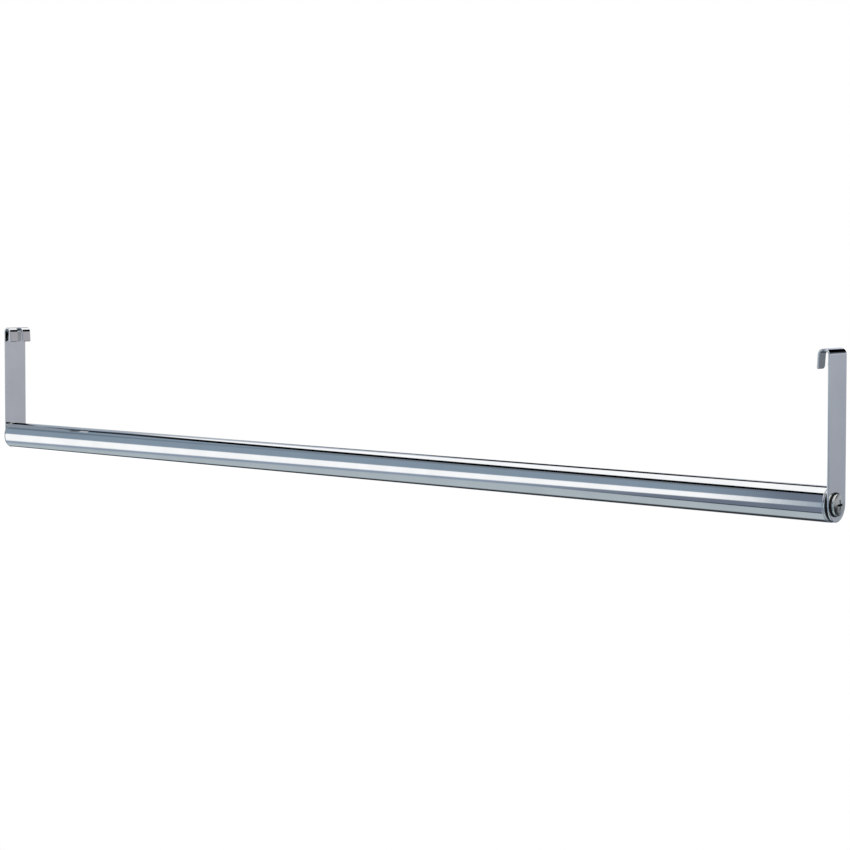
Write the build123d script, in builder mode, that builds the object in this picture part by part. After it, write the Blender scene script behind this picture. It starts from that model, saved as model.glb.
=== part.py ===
from build123d import *
import math
import os

# Hanging rail for a wire shelf: a round tube carried between two flat hook straps.
# Millimetres. X runs along the rail, Y is its depth (front is -Y), Z is up.
# The origin is on the rail's axis, half way along it.
# Every end piece is shaped for the right-hand end (+X) and mirrored for the left.

# Driving dimensions
RAIL_DIAMETER = 25.4
RAIL_LENGTH = 914.4
HOOK_TOP = 109.1  # rail axis to the top of the hooks
STRAP_THICKNESS = 1.5
SCREW_DIAMETER = 6.0

# Rail tube
TUBE_WALL = 1.2
TUBE_END_ROUND = 0.3

# End plug: ribbed barrel, neck and flange
BARREL_LENGTH = 20.0
BARREL_LEAD = 1.0
RIB_COUNT = 8
RIB_WIDTH = 1.6
RIB_RELIEF = 0.3  # how far the barrel stays inside the ribs
RIB_BITE = 0.05  # how far a rib bites into the tube
NECK_LENGTH = 0.8
FLANGE_THICKNESS = 0.8
FLANGE_ROUND = 0.25
THREAD_BITE = 0.1  # half the depth of thread the plug and the screw share

# Washers on the two faces of each strap
RUNNING_GAP = 0.05
PIVOT_WASHER_THICKNESS = 0.5
PIVOT_WASHER_RADIUS = 11.4
FLAT_WASHER_THICKNESS = 0.5
FLAT_WASHER_RADIUS = 8.7
WASHER_ROUND = 0.2

# Hook strap
STRAP_WIDTH = RAIL_DIAMETER
STRAP_SETBACK = 2.3  # rail axis to the strap's centreline, towards the back
EDGE_ROUND = 0.6  # rolled edges of the strip
HOOK_GAP = 6.4  # strap to tab, just under the bends
BEND_INNER_RADIUS = 3.0
TAB_LEAN = 4.0  # degrees that the tabs splay away from the strap
TAB_DROP = 14.3  # hook top to the tabs' ends
NOTCH_WIDTH = 5.6
NOTCH_SIDE_ROUND = 2.6
OUTER_SIDE_ROUND = 0.9

# Screw
HEAD_SEAT_GAP = 0.2  # relieved ring under the head's rim
HEAD_SEAT_RADIUS = 7.2
HEAD_RADIUS = 8.0
HEAD_SIDE = 1.8
HEAD_RIM_ROUND = 0.6
HEAD_DOME = 1.2
RECESS_LENGTH = 7.6
RECESS_WIDTH = 1.7
RECESS_DEPTH = 2.2
RECESS_TAPER = 9.0
THREAD_ENGAGEMENT = 14.0
TIP_CHAMFER = 0.8

# How near two measures are when a selector treats them as the same
TOLERANCE = 0.15

# Stations along X at the right-hand end, from the tube outwards
TUBE_END = RAIL_LENGTH / 2
FLANGE_START = TUBE_END + NECK_LENGTH
PIVOT_WASHER_START = FLANGE_START + FLANGE_THICKNESS
STRAP_INNER = PIVOT_WASHER_START + PIVOT_WASHER_THICKNESS + RUNNING_GAP
STRAP_OUTER = STRAP_INNER + STRAP_THICKNESS
FLAT_WASHER_START = STRAP_OUTER + RUNNING_GAP
HEAD_START = FLAT_WASHER_START + FLAT_WASHER_THICKNESS

# Radii
TUBE_RADIUS = RAIL_DIAMETER / 2
TUBE_BORE = TUBE_RADIUS - TUBE_WALL
NECK_RADIUS = TUBE_BORE + TUBE_WALL / 2
SCREW_RADIUS = SCREW_DIAMETER / 2
STRAP_BORE = SCREW_RADIUS + RUNNING_GAP
WASHER_BORE = SCREW_RADIUS + 2 * RUNNING_GAP


def export(piece, name):
    piece.part.label = name
    export_step(piece.part, f"parts/{name}.step")


def export_both_ends(right, name):
    """Writes a right-hand end piece and its mirror image at the left-hand end."""
    export(right, f"right_{name}")
    with BuildPart() as left:
        add(right.part)
        mirror(about=Plane.YZ, mode=Mode.REPLACE)
    export(left, f"left_{name}")


def rail_tube():
    with BuildPart() as tube:
        with BuildSketch(Plane.YZ):
            Circle(TUBE_RADIUS)
            Circle(TUBE_BORE, mode=Mode.SUBTRACT)
        extrude(amount=TUBE_END, both=True)
        outer_ends = tube.edges().filter_by(GeomType.CIRCLE).group_by(SortBy.RADIUS)[-1]
        fillet(outer_ends, TUBE_END_ROUND)
    return tube


def end_plug():
    """Barrel with crush ribs inside the tube, and a flange of the tube's own diameter."""
    barrel_end = TUBE_END - BARREL_LENGTH
    barrel_radius = TUBE_BORE - RIB_RELIEF
    thread_radius = SCREW_RADIUS - THREAD_BITE
    with BuildPart() as plug:
        with BuildSketch(Plane.YZ.offset(barrel_end)):
            Circle(barrel_radius)
            with PolarLocations(barrel_radius, RIB_COUNT):
                Rectangle(2 * (RIB_RELIEF + RIB_BITE), RIB_WIDTH)
        extrude(amount=BARREL_LENGTH)
        chamfer(plug.faces().sort_by(Axis.X)[0].edges(), RIB_RELIEF)
        with BuildSketch(Plane.YZ.offset(TUBE_END)):
            Circle(NECK_RADIUS)
        extrude(amount=NECK_LENGTH)
        with BuildSketch(Plane.YZ.offset(FLANGE_START)):
            Circle(TUBE_RADIUS)
        extrude(amount=FLANGE_THICKNESS)
        rims = plug.edges().filter_by(GeomType.CIRCLE).group_by(SortBy.RADIUS)[-1]
        fillet(rims, FLANGE_ROUND)
        with BuildSketch(Plane.YZ.offset(barrel_end)):
            Circle(thread_radius)
        extrude(amount=PIVOT_WASHER_START - barrel_end, mode=Mode.SUBTRACT)
    return plug


def washer(start, thickness, radius):
    with BuildPart() as ring:
        with BuildSketch(Plane.YZ.offset(start)):
            Circle(radius)
            Circle(WASHER_BORE, mode=Mode.SUBTRACT)
        extrude(amount=thickness)
        rims = ring.edges().filter_by(GeomType.CIRCLE).group_by(SortBy.RADIUS)[-1]
        fillet(rims, WASHER_ROUND)
    return ring


def hook_strap():
    """Flat strip, round at the foot, folded over at the top into a hook of two tabs."""
    middle = STRAP_INNER + STRAP_THICKNESS / 2
    bend = BEND_INNER_RADIUS + STRAP_THICKNESS / 2
    crown = HOOK_TOP - STRAP_THICKNESS / 2
    fold_start = crown - bend
    tab_width = (STRAP_WIDTH - NOTCH_WIDTH) / 2
    tab_centre = (NOTCH_WIDTH + tab_width) / 2
    lean = math.radians(TAB_LEAN)

    # The first bend ends at the crown, where the notch between the tabs begins
    bridge_start = middle - bend
    # Where the second bend ends and the straight tab begins
    tab_x = STRAP_INNER - HOOK_GAP - STRAP_THICKNESS / 2 * math.cos(lean)
    tab_z = fold_start + bend * math.sin(lean)
    bridge_end = tab_x + bend * math.cos(lean)
    tab_length = (tab_z - (HOOK_TOP - TAB_DROP)) / math.cos(lean)

    with BuildPart() as strap:
        # Upright strip with a round foot
        with BuildSketch(Plane.YZ.offset(STRAP_INNER)):
            with Locations((STRAP_SETBACK, 0)):
                Circle(STRAP_WIDTH / 2)
            with Locations((STRAP_SETBACK, fold_start / 2)):
                Rectangle(STRAP_WIDTH, fold_start)
        extrude(amount=STRAP_THICKNESS)
        rolled = strap.faces().filter_by(Plane.YZ).edges()
        fillet(rolled.sort_by(Axis.Z)[:-2], EDGE_ROUND)

        # First bend, as wide as the strip
        with BuildLine(Plane.XZ) as rise:
            JernArc((middle, fold_start), (0, 1), bend, 90)
        with BuildSketch(Plane.XY.offset(fold_start)):
            with Locations((middle, STRAP_SETBACK)):
                RectangleRounded(STRAP_THICKNESS, STRAP_WIDTH, EDGE_ROUND)
        sweep(path=rise.line)

        for side in (-1, 1):
            # Bridge and second bend
            tab_y = STRAP_SETBACK + side * tab_centre
            with BuildLine(Plane.XZ) as fall:
                bridge = Line((bridge_start, crown), (bridge_end, crown))
                JernArc(bridge @ 1, (-1, 0), bend, 90 - TAB_LEAN)
            with BuildSketch(Plane.YZ.offset(bridge_start)):
                with Locations((tab_y, crown)):
                    RectangleRounded(tab_width, STRAP_THICKNESS, EDGE_ROUND)
            sweep(path=fall.line)

            # Straight tab: its end's inner corner is wide, its outer corner small
            down = Vector(-math.sin(lean), 0, -math.cos(lean))
            across = Vector(0, side, 0)
            tab_plane = Plane((tab_x, tab_y, tab_z), across, across.cross(down))
            with BuildPart(mode=Mode.PRIVATE) as tab:
                with BuildSketch(tab_plane) as outline:
                    with Locations((0, tab_length / 2)):
                        Rectangle(tab_width, tab_length)
                    for corner, radius in ((0, NOTCH_SIDE_ROUND), (-1, OUTER_SIDE_ROUND)):
                        ends = outline.vertices().group_by(Axis.Y)[-1].sort_by(Axis.X)
                        fillet(ends[corner], radius)
                extrude(amount=STRAP_THICKNESS / 2, both=True)
                rolled = tab.faces().filter_by(tab_plane).edges()
                fillet(rolled.sort_by(Axis.Z)[:-2], EDGE_ROUND)
            add(tab.part)

        # Bore for the screw
        with BuildSketch(Plane.YZ.offset(STRAP_INNER)):
            Circle(STRAP_BORE)
        extrude(amount=STRAP_THICKNESS, mode=Mode.SUBTRACT)
    return strap


def screw():
    """Truss head with a cross recess; its plain shank is the strap's pivot."""
    tip = TUBE_END - THREAD_ENGAGEMENT
    rim_start = HEAD_START + HEAD_SEAT_GAP
    side_end = rim_start + HEAD_SIDE
    apex = side_end + HEAD_DOME
    with BuildPart() as bolt:
        with BuildSketch(Plane.XZ):
            with BuildLine():
                Polyline(
                    (apex, 0),
                    (tip, 0),
                    (tip, SCREW_RADIUS - TIP_CHAMFER),
                    (tip + TIP_CHAMFER, SCREW_RADIUS),
                    (HEAD_START, SCREW_RADIUS),
                    (HEAD_START, HEAD_SEAT_RADIUS),
                    (rim_start, HEAD_SEAT_RADIUS),
                    (rim_start, HEAD_RADIUS),
                    (side_end, HEAD_RADIUS),
                )
                dome_radius = (HEAD_RADIUS**2 + HEAD_DOME**2) / (2 * HEAD_DOME)
                RadiusArc((side_end, HEAD_RADIUS), (apex, 0), dome_radius)
            make_face()
        revolve(axis=Axis.X)
        rims = bolt.edges().filter_by(
            lambda edge: edge.geom_type == GeomType.CIRCLE
            and abs(edge.radius - HEAD_RADIUS) < TOLERANCE
        )
        fillet(rims, HEAD_RIM_ROUND)
        with BuildSketch(Plane.YZ.offset(apex)):
            Rectangle(RECESS_LENGTH, RECESS_WIDTH)
            Rectangle(RECESS_WIDTH, RECESS_LENGTH)
        extrude(amount=-RECESS_DEPTH, taper=RECESS_TAPER, mode=Mode.SUBTRACT)
    return bolt


os.makedirs("parts", exist_ok=True)
export(rail_tube(), "rail_tube")
export_both_ends(end_plug(), "end_plug")
export_both_ends(
    washer(PIVOT_WASHER_START, PIVOT_WASHER_THICKNESS, PIVOT_WASHER_RADIUS),
    "pivot_washer",
)
export_both_ends(hook_strap(), "hook_strap")
export_both_ends(
    washer(FLAT_WASHER_START, FLAT_WASHER_THICKNESS, FLAT_WASHER_RADIUS), "flat_washer"
)
export_both_ends(screw(), "screw")
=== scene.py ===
import math

import bpy
from mathutils import Matrix, Vector


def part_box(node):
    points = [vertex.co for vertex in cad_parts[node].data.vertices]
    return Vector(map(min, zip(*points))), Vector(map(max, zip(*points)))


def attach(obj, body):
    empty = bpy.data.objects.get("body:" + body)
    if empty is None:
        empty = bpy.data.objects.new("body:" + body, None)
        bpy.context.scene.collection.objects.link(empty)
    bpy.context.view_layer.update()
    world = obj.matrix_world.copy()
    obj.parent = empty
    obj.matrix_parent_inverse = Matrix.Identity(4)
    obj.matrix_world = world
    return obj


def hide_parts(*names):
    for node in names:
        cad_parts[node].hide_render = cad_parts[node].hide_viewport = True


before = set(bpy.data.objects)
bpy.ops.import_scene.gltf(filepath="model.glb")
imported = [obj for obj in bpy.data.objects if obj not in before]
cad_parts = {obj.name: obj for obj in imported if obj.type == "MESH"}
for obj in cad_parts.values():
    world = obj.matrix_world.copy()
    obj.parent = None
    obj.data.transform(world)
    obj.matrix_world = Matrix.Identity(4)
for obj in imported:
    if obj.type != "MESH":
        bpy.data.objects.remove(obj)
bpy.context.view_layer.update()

MM = 0.001

# Camera: place, heading and lens, in the row frame
CAMERA_PLACE = (1.0786, -1.1743, 0.1524)
CAMERA_HEADING = 40.198  # degrees anticlockwise from looking along +Y
CAMERA_PITCH = -2.038
CAMERA_ROLL = 0.091
CAMERA_SENSOR = 36.0  # mm
CAMERA_LENS = 79.06  # mm
CAMERA_SHIFT_Y = -0.0862
CAMERA_REACH = 100.0

FLOOR_DEPTH = 0.60  # below the rail's axis
FLOOR_SIZE = 60.0

WHITE = (1, 1, 1, 1)
CHROME_TINT = (0.64, 0.652, 0.665)
SOFTBOX = 1.44  # brightness of the studio's softboxes

# Rail tube
TUBE_WALL = 1.2 * MM
LIP_ROUND = 0.3 * MM
LIP_STEPS = 6
LENGTH_STEPS = 32
TURN_STEPS = 256

# Chrome surface
CHROME_ROUGHNESS = 0.025
HAZE_GRAIN = 45.0  # per metre, like the other grains
LINE_GRAIN = 2500.0
HAIR_GRAIN = 6000.0
HAIR_STRETCH = 0.12
PIT_GRAIN = 420.0
PIT_COLOUR = (0.35, 0.35, 0.35, 1)
RIPPLE_DEPTH = 0.012 * MM
LINE_DEPTH = 0.00012 * MM
SCRATCH_DEPTH = 0.0004 * MM

# Turned screw
RING_PITCH = 0.22 * MM
RING_WOBBLE = 0.06 * MM
RING_SHARE = 0.35  # height of the rings beside the finer grooves
GROOVE_GRAIN = 16000.0
GROOVE_DEPTH = 0.0012 * MM
STAIN_GRAIN = 400.0
# Painted shade in the screw's recess: a near-black colour, fading in with depth below the dome's top and
# held inside a radius
RECESS_SHADE_START = 0.5 * MM  # below the top of the dome
RECESS_SHADE_FULL = 1.6 * MM
RECESS_SHADE_RADIUS = 4.2 * MM
RECESS_SHADE_FADE = 0.2 * MM
RECESS_SHADE_COLOUR = (0.02, 0.02, 0.02, 1)

# Moulded nylon
MOULD_GRAIN = 5000.0
MOULD_DEPTH = 0.004 * MM
SCUFF_GRAIN = 700.0


# ---------------------------------------------------------------- node helpers
def tree(owner):
    owner.use_nodes = True
    owner.node_tree.nodes.clear()
    return owner.node_tree


def node(nt, kind, inputs=(), **props):
    """A shader node; inputs maps a socket's name or index to a value or to another socket."""
    made = nt.nodes.new(kind)
    for name, value in props.items():
        setattr(made, name, value)
    for key, value in dict(inputs).items():
        socket = made.inputs[key]
        if isinstance(value, bpy.types.NodeSocket):
            nt.links.new(value, socket)
        else:
            socket.default_value = value
    return made


def calc(nt, operation, *values):
    made = node(nt, "ShaderNodeMath", dict(enumerate(values)), operation=operation)
    return made.outputs[0]


def span(nt, value, low, high, start, end, kind="LINEAR"):
    """Maps low..high onto start..end, and holds the ends."""
    inputs = {0: value, 1: low, 2: high, 3: start, 4: end}
    return node(nt, "ShaderNodeMapRange", inputs, interpolation_type=kind).outputs[0]


def mix(nt, factor, one, other):
    inputs = {0: factor, 6: one, 7: other}
    return node(nt, "ShaderNodeMix", inputs, data_type="RGBA").outputs[2]


def ramp(nt, fac, stops):
    """A colour ramp; stops are (place, colour)."""
    made = node(nt, "ShaderNodeValToRGB", {"Fac": fac})
    band = made.color_ramp
    while len(band.elements) > 1:
        band.elements.remove(band.elements[-1])
    for i, (place, colour) in enumerate(stops):
        stop = band.elements[0] if i == 0 else band.elements.new(place)
        stop.position = place
        stop.color = (*colour, 1)
    return made.outputs["Color"]


# ---------------------------------------------------------------- studio
def seen(*levels):
    """Linear colour of a surface whose mirror image in the chrome has these 0-255 levels."""
    linear = [((v / 255 + 0.055) / 1.055) ** 2.4 for v in levels]
    return tuple(v / tint for v, tint in zip(linear, CHROME_TINT))


class Sky:
    """The studio that the chrome mirrors, painted on the sky as panels with straight edges.

    An edge is (angle, tilt). The angle is measured round the rail's axis in degrees: 0 is
    the front, 90 overhead, 180 the back, 270 the floor. The tilt raises the angle towards
    the left. A panel's left and right sides are X components of the direction to them.
    """

    def __init__(self, nt, colour):
        self.nt = nt
        self.direction = node(nt, "ShaderNodeTexCoord").outputs["Generated"]
        self.across = node(nt, "ShaderNodeSeparateXYZ", {0: self.direction}).outputs["X"]
        self.colour = (*colour, 1)

    def height(self, edge):
        """How far the direction is past an edge, as a sine."""
        angle, tilt = math.radians(edge[0]), edge[1]
        normal = Vector((tilt, math.sin(angle), math.cos(angle))).normalized()
        inputs = {0: self.direction, 1: normal}
        dot = node(self.nt, "ShaderNodeVectorMath", inputs, operation="DOT_PRODUCT")
        return dot.outputs["Value"]

    def cut(self, inside, value, start, end):
        edge = span(self.nt, value, start, end, 0.0, 1.0, "SMOOTHSTEP")
        return calc(self.nt, "MULTIPLY", inside, edge)

    def panel(self, low, high, colour, top=None, left=None, right=None, soft=2.0, side_soft=0.03):
        """Paints a panel between two edges; top is its colour at the high edge."""
        blur = math.radians(soft) / 2
        rise = self.height(low)
        inside = span(self.nt, rise, -blur, blur, 0.0, 1.0, "SMOOTHSTEP")
        inside = self.cut(inside, self.height(high), blur, -blur)
        if left is not None:
            inside = self.cut(inside, self.across, left - side_soft, left + side_soft)
        if right is not None:
            inside = self.cut(inside, self.across, right + side_soft, right - side_soft)
        paint = (*colour, 1)
        if top:
            reach = math.sin(math.radians(high[0] - low[0]))
            paint = mix(self.nt, span(self.nt, rise, 0.0, reach, 0.0, 1.0), paint, (*top, 1))
        self.colour = mix(self.nt, inside, self.colour, paint)


def room(sky, white):
    """The room behind the rail, in the order in which one panel covers another."""
    # dark, with paler panels at its left end and right of the middle
    sky.panel((150, 0), (212, 0), seen(62, 65, 72), soft=6)
    sky.panel((150, 0), (190, 0), seen(165, 170, 180), right=-0.70, soft=8)
    sky.panel((150, 0), (190, 0), seen(188, 196, 212), left=-0.53, right=-0.1, soft=8)
    sky.panel((183, 0), (205, 0), seen(130, 136, 144), left=-0.66, right=-0.1, soft=8)
    # the wall on the right, darker towards the floor, with a white screen at its end
    sky.panel((165, 0), (200, 0), seen(186, 192, 204), top=seen(112, 117, 124), left=-0.02, soft=4)
    sky.panel((160, 0), (178, 0), seen(160, 159, 165), left=0.62, soft=4)
    sky.panel((176, 0), (200, 0), seen(172, 174, 183), top=seen(122, 126, 134), left=0.62, soft=4)
    sky.panel((140, 0), (200, 0), white, left=0.87, side_soft=0.025, soft=4)
    # dark doorway straight behind the rail, mirrored at every glancing edge
    sky.panel((170, 0), (185.2, 0), seen(24, 26, 30), right=-0.06, soft=3)


def overhead(sky, white, black):
    # grey ceiling, big softbox, and the black bar along its front edge
    ceiling_low = (52, 0.82)
    sky.panel(ceiling_low, (154, 0), seen(160, 169, 182), soft=5)
    sky.panel(ceiling_low, (138, -0.12), white, left=-0.748, right=0.72, side_soft=0.012)
    sky.panel((30, 0.7), (42, 0.7), seen(108, 116, 125), left=-0.7, soft=8)
    sky.panel((40, 0.7), ceiling_low, black, left=-0.755, side_soft=0.015)
    sky.panel((97, 0), (118, 0), seen(34, 38, 44), left=-0.80, right=-0.74, side_soft=0.015, soft=6)
    # black cards behind the hooks
    sky.panel((117, 0.5), (141, 0.5), black, left=-0.635, right=-0.42, side_soft=0.02, soft=4)
    sky.panel((137, -0.12), (158, -0.12), black, left=-0.17)
    sky.panel((124, 0), (170, 0), black, left=0.40)


def below(sky, black):
    # floor: pale near, dark far
    sky.panel((-113, 0), (-40, 0), seen(166, 178, 184), soft=8)
    sky.panel((220, -0.45), (247, 0), seen(48, 50, 55), soft=14)
    sky.panel((191, 0), (247, 0), black, left=0.62, soft=3)


def in_front(sky, white, black):
    # softbox with a blue-grey shadow line under it, wider and darker to the right
    front_low = (1.8, -0.59)
    wedge_low = (-91, 1.0)
    sky.panel((-14, -0.65), front_low, seen(134, 148, 167), soft=6)
    sky.panel(wedge_low, front_low, seen(104, 114, 130), left=-0.58, right=-0.3, side_soft=0.05)
    sky.panel(wedge_low, (-84, 1.0), seen(66, 72, 84), left=-0.56, right=-0.3, side_soft=0.05)
    sky.panel((13, 0), (40, 0.7), seen(100, 110, 126), left=-0.50, soft=6)
    sky.panel(front_low, (13.5, 0), white, right=-0.49, side_soft=0.035, soft=6)
    # dark wall at the left-hand end
    sky.panel((0, -0.058), (170, 0), black, right=-0.90, soft=3)


def studio():
    """The world: panels for the chrome to mirror, plain white for the camera."""
    world = bpy.data.worlds.new("studio")
    bpy.context.scene.world = world
    nt = tree(world)
    white = (SOFTBOX,) * 3
    black = (0.0, 0.0, 0.0)
    sky = Sky(nt, seen(128, 145, 161))
    room(sky, white)
    overhead(sky, white, black)
    below(sky, black)
    in_front(sky, white, black)
    lit = node(nt, "ShaderNodeBackground", {0: sky.colour, 1: 1.0}).outputs[0]
    backdrop = node(nt, "ShaderNodeBackground", {0: WHITE, 1: 1.0}).outputs[0]
    ray = node(nt, "ShaderNodeLightPath").outputs["Is Camera Ray"]
    both = node(nt, "ShaderNodeMixShader", {0: ray, 1: lit, 2: backdrop}).outputs[0]
    node(nt, "ShaderNodeOutputWorld", {0: both})


def add_object(name, verts, faces):
    mesh = bpy.data.meshes.new(name)
    mesh.from_pydata(verts, [], faces)
    mesh.validate()
    mesh.update()
    obj = bpy.data.objects.new(name, mesh)
    bpy.context.collection.objects.link(obj)
    return obj


def floor():
    """A white floor that only the camera sees."""
    half = FLOOR_SIZE / 2
    signs = ((-1, -1), (1, -1), (1, 1), (-1, 1))
    obj = add_object("floor", [(x * half, y * half, -FLOOR_DEPTH) for x, y in signs], [(0, 1, 2, 3)])
    mat = bpy.data.materials.new("floor_white")
    nt = tree(mat)
    glow = node(nt, "ShaderNodeEmission", {0: WHITE, 1: 1.0}).outputs[0]
    node(nt, "ShaderNodeOutputMaterial", {0: glow})
    obj.data.materials.append(mat)
    obj.visible_glossy = False
    obj.visible_diffuse = False
    obj.visible_shadow = False


def camera():
    data = bpy.data.cameras.new("camera")
    data.sensor_width = CAMERA_SENSOR
    data.lens = CAMERA_LENS
    data.shift_y = CAMERA_SHIFT_Y
    data.clip_end = CAMERA_REACH
    obj = bpy.data.objects.new("camera", data)
    bpy.context.collection.objects.link(obj)
    turn = (
        Matrix.Rotation(math.radians(CAMERA_HEADING), 4, "Z")
        @ Matrix.Rotation(math.radians(90 + CAMERA_PITCH), 4, "X")
        @ Matrix.Rotation(math.radians(CAMERA_ROLL), 4, "Z")
    )
    obj.matrix_world = Matrix.Translation(Vector(CAMERA_PLACE)) @ turn
    bpy.context.scene.camera = obj


# ---------------------------------------------------------------- materials
def material(name):
    """A new material, its node tree and the object coordinates in it."""
    mat = bpy.data.materials.new(name)
    nt = tree(mat)
    return mat, nt, node(nt, "ShaderNodeTexCoord").outputs["Object"]


def coat(nt, inputs):
    shader = node(nt, "ShaderNodeBsdfPrincipled", inputs).outputs[0]
    node(nt, "ShaderNodeOutputMaterial", {0: shader})


def noise(nt, place, size, detail=3.0, scale=(1, 1, 1)):
    """Noise of so many grains per metre, drawn out along an axis where its scale is small."""
    moved = node(nt, "ShaderNodeMapping", {"Vector": place, "Scale": scale}).outputs[0]
    inputs = {"Vector": moved, "Scale": size, "Detail": detail, "Roughness": 0.6}
    return node(nt, "ShaderNodeTexNoise", inputs).outputs[0]


def bump(nt, height, depth, under=None):
    inputs = {"Height": height, "Distance": depth, "Strength": 1.0}
    if under:
        inputs["Normal"] = under
    return node(nt, "ShaderNodeBump", inputs).outputs[0]


def chrome(name, grain):
    """Polished chrome plate; grain is the noise scale that draws its polishing lines out."""
    mat, nt, place = material(name)
    haze = noise(nt, place, HAZE_GRAIN, 5.0)
    lines = noise(nt, place, LINE_GRAIN, scale=grain)
    across = tuple(HAIR_STRETCH * g for g in reversed(grain))
    hairs = noise(nt, place, HAIR_GRAIN, 1.0, across)
    scratch = span(nt, hairs, 0.66, 0.72, 0.0, 1.0)
    cells = {"Vector": place, "Scale": PIT_GRAIN}
    pits = node(nt, "ShaderNodeTexVoronoi", cells).outputs["Distance"]
    pit = span(nt, pits, 0.02, 0.05, 1.0, 0.0)
    rough = span(nt, haze, 0.3, 0.7, CHROME_ROUGHNESS, CHROME_ROUGHNESS * 2.2)
    rough = calc(nt, "MULTIPLY_ADD", scratch, 0.05, rough)
    rough = calc(nt, "MULTIPLY_ADD", pit, 0.2, rough)
    ripple = bump(nt, haze, RIPPLE_DEPTH)
    brushed = bump(nt, lines, LINE_DEPTH, ripple)
    marked = bump(nt, scratch, SCRATCH_DEPTH, brushed)
    dull, bright = (tuple(level * c for c in CHROME_TINT) for level in (0.95, 1.02))
    tint = ramp(nt, haze, ((0.3, dull), (0.7, bright)))
    worn = mix(nt, pit, tint, PIT_COLOUR)
    coat(nt, {"Base Color": worn, "Metallic": 1.0, "Roughness": rough, "Normal": marked})
    return mat


def turned_metal(name):
    """Nickel turned on a lathe: fine rings round the screw's axis, painted shade in its recess."""
    mat, nt, place = material(name)
    xyz = node(nt, "ShaderNodeSeparateXYZ", {0: place}).outputs
    flat = node(nt, "ShaderNodeCombineXYZ", {1: xyz["Y"], 2: xyz["Z"]}).outputs[0]
    radius = node(nt, "ShaderNodeVectorMath", {0: flat}, operation="LENGTH").outputs["Value"]
    stain = noise(nt, place, STAIN_GRAIN, 5.0)
    wobble = calc(nt, "MULTIPLY_ADD", stain, RING_WOBBLE, radius)
    rings = calc(nt, "SINE", calc(nt, "MULTIPLY", wobble, 2 * math.pi / RING_PITCH))
    fine = noise(nt, node(nt, "ShaderNodeCombineXYZ", {0: radius}).outputs[0], GROOVE_GRAIN)
    groove = calc(nt, "MULTIPLY_ADD", rings, RING_SHARE, fine)
    tint = ramp(nt, stain, ((0.3, (0.50, 0.52, 0.50)), (0.7, (0.60, 0.62, 0.60))))
    dome_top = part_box("right_screw")[1].x
    # painted shade: the recess turns near black with depth below the dome's top, inside the radius
    depth = calc(nt, "SUBTRACT", dome_top, calc(nt, "ABSOLUTE", xyz["X"]))
    deep = span(nt, depth, RECESS_SHADE_START, RECESS_SHADE_FULL, 0.0, 0.95)
    central = span(nt, radius, RECESS_SHADE_RADIUS, RECESS_SHADE_RADIUS + RECESS_SHADE_FADE, 1.0, 0.0)
    coat(
        nt,
        {
            "Base Color": mix(nt, calc(nt, "MULTIPLY", deep, central), tint, RECESS_SHADE_COLOUR),
            "Metallic": 1.0,
            "Roughness": span(nt, stain, 0.3, 0.7, 0.12, 0.22),
            "Anisotropic": 0.75,
            "Tangent": node(nt, "ShaderNodeTangent", direction_type="RADIAL", axis="X").outputs[0],
            "Normal": bump(nt, groove, GROOVE_DEPTH),
        },
    )
    return mat


def moulded_nylon(name, roughness):
    """Black nylon with a fine moulded grain and paler scuffs."""
    mat, nt, place = material(name)
    grain = noise(nt, place, MOULD_GRAIN, 4.0)
    scuffs = noise(nt, place, SCUFF_GRAIN, 6.0, (0.3, 1, 1))
    coat(
        nt,
        {
            "Base Color": ramp(nt, scuffs, ((0.45, (0.006, 0.006, 0.007)), (0.75, (0.03, 0.03, 0.033)))),
            "Roughness": span(nt, grain, 0.3, 0.7, roughness, roughness + 0.2),
            "Specular IOR Level": 0.25,
            "Normal": bump(nt, grain, MOULD_DEPTH),
        },
    )
    return mat


def dress(name, mat):
    """Gives a CAD node's object a better material."""
    for material_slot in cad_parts[name].material_slots:
        material_slot.material = mat


# ---------------------------------------------------------------- rail
def lathe(name, profile):
    """A mesh turned about X from (x, radius) points; the profile is closed."""
    turns = [2 * math.pi * i / TURN_STEPS for i in range(TURN_STEPS)]
    verts = [(x, r * math.cos(a), r * math.sin(a)) for x, r in profile for a in turns]
    faces = []
    for j in range(len(profile)):
        here = j * TURN_STEPS
        there = (j + 1) % len(profile) * TURN_STEPS
        for i in range(TURN_STEPS):
            n = (i + 1) % TURN_STEPS
            faces.append((here + i, here + n, there + n, there + i))
    return add_object(name, verts, faces)


def rail():
    """The tube, smoother than the CAD mesh, with a rounded lip at each end."""
    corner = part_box("rail_tube")[1]
    end, radius = corner.x, corner.y
    lip = []
    for i in range(LIP_STEPS + 1):
        a = math.pi / 2 * i / LIP_STEPS
        lip.append((end - LIP_ROUND * (1 - math.sin(a)), radius - LIP_ROUND * (1 - math.cos(a))))
    straight = 0.999 * end
    outer = [(straight * (2 * i / LENGTH_STEPS - 1), radius) for i in range(LENGTH_STEPS + 1)]
    bore = radius - TUBE_WALL
    profile = [(-x, r) for x, r in reversed(lip)] + outer + lip + [(end, bore), (-end, bore)]
    obj = lathe("rail", profile)
    for polygon in obj.data.polygons:
        polygon.use_smooth = True
    obj.data.materials.append(chrome("rail_chrome", (0.03, 1, 1)))
    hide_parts("rail_tube")
    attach(obj, "rail")


studio()
floor()
camera()
rail()
looks = {
    "hook_strap": chrome("strap_chrome", (1, 1, 0.03)),
    "end_plug": chrome("plug_chrome", (1, 0.1, 0.1)),
    "screw": turned_metal("screw_nickel"),
    "pivot_washer": moulded_nylon("pivot_nylon", 0.5),
    "flat_washer": moulded_nylon("washer_nylon", 0.4),
}
for end_name in ("left", "right"):
    for piece, look in looks.items():
        dress(f"{end_name}_{piece}", look)

bpy.context.scene.view_settings.view_transform = "Standard"
